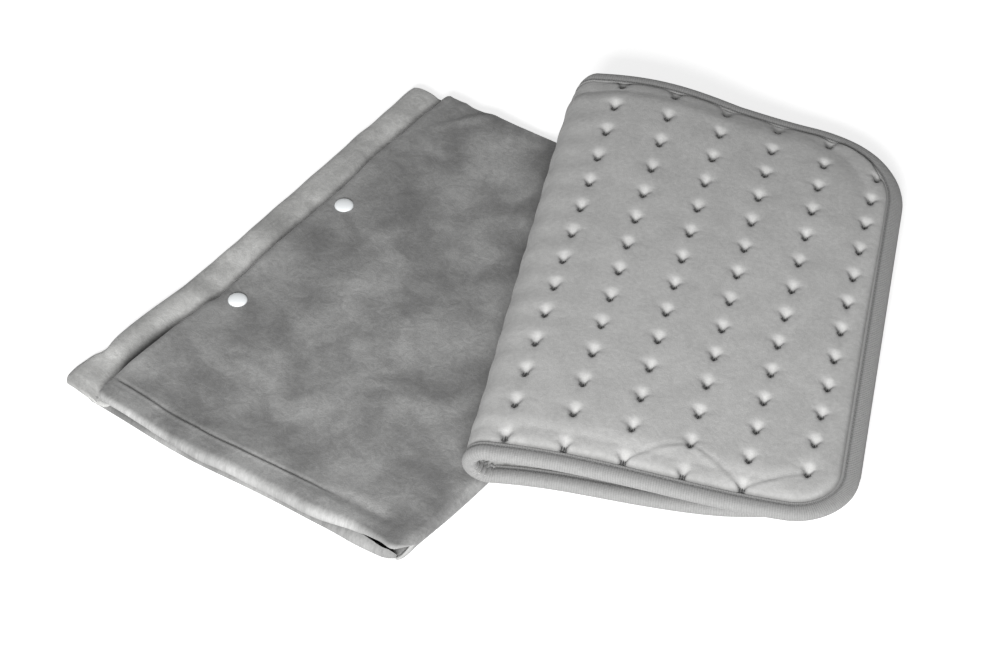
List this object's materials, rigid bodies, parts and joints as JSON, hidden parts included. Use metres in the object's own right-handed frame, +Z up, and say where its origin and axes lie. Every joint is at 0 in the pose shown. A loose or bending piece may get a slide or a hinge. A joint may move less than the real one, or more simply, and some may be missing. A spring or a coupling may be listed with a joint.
{
  "type": "folded electric heating pad with fabric cover",
  "caption": "Tufted plush heating pad with ribbed edge binding, folded in half and lying on its folded velvet cover, whose mouth closes with white snaps.",
  "frame": {"origin": "middle of the set's footprint, on the surface that it lies on", "axes": "+Z up; the pad's fold runs along Y and the pad's halves reach from the fold towards +X; the cover's mouth with its snaps lies towards -X and its rear end towards +Y"},
  "size_m": [0.4544, 0.4092, 0.0435],
  "materials": {
    "plush": "short-pile plush",
    "lining": "short-pile plush",
    "knit": "ribbed knit",
    "velvet": "velvet pile",
    "felt": "non-woven",
    "sheath": "satin",
    "snap_white": "gloss",
    "shell": "matte",
    "insulator": "matte",
    "brass": "satin",
    "steel": "brushed"
  },
  "bodies": {
    "cover": {"cover_outer_panel": "velvet", "cover_inner_panel": "velvet", "snap_stud_front": "snap_white", "snap_stud_rear": "snap_white", "snap_back_front": "snap_white", "snap_back_rear": "snap_white"},
    "cover_flap": {"cover_mouth_flap": "velvet", "snap_cap_front": "snap_white", "snap_cap_rear": "snap_white", "snap_socket_front": "snap_white", "snap_socket_rear": "snap_white"},
    "pad_lower": {"pad_lower_face": "plush", "pad_lower_lining": "lining", "pad_lower_carrier": "felt", "pad_lower_wire": "sheath", "pad_lower_thermostat": "steel", "pad_lower_binding": "knit", "pad_fold_face": "plush", "pad_fold_lining": "lining", "pad_fold_carrier": "felt", "pad_fold_wire": "sheath", "pad_fold_binding_front": "knit", "pad_fold_binding_rear": "knit", "inlet_base": "shell", "inlet_lid": "shell", "inlet_pin_block": "insulator", "inlet_pin_1": "brass", "inlet_pin_2": "brass", "inlet_pin_3": "brass", "inlet_lead_1": "sheath", "inlet_lead_2": "sheath"},
    "pad_upper": {"pad_upper_face": "plush", "pad_upper_lining": "lining", "pad_upper_carrier": "felt", "pad_upper_wire": "sheath", "pad_upper_thermostat": "steel", "pad_upper_binding": "knit"}
  },
  "joints": [
    {"name": "pad_lift", "type": "slide", "parent": "cover", "child": "pad_lower", "axis": [0, 0, 1], "range_m": [0, 0.15]},
    {"name": "pad_fold", "type": "hinge", "parent": "pad_lower", "child": "pad_upper", "pos_m": [0.02627, 0.02616, 0.02675], "axis": [0, -1, 0], "range_deg": [0, 150], "deforming": ["pad_fold_face", "pad_fold_lining", "pad_fold_carrier", "pad_fold_wire", "pad_fold_binding_front", "pad_fold_binding_rear"]},
    {"name": "mouth_flap", "type": "hinge", "parent": "cover", "child": "cover_flap", "pos_m": [-0.10321, 0.02113, 0.013], "axis": [0.4115, 0.9114, 0], "range_deg": [0, 60]}
  ]
}
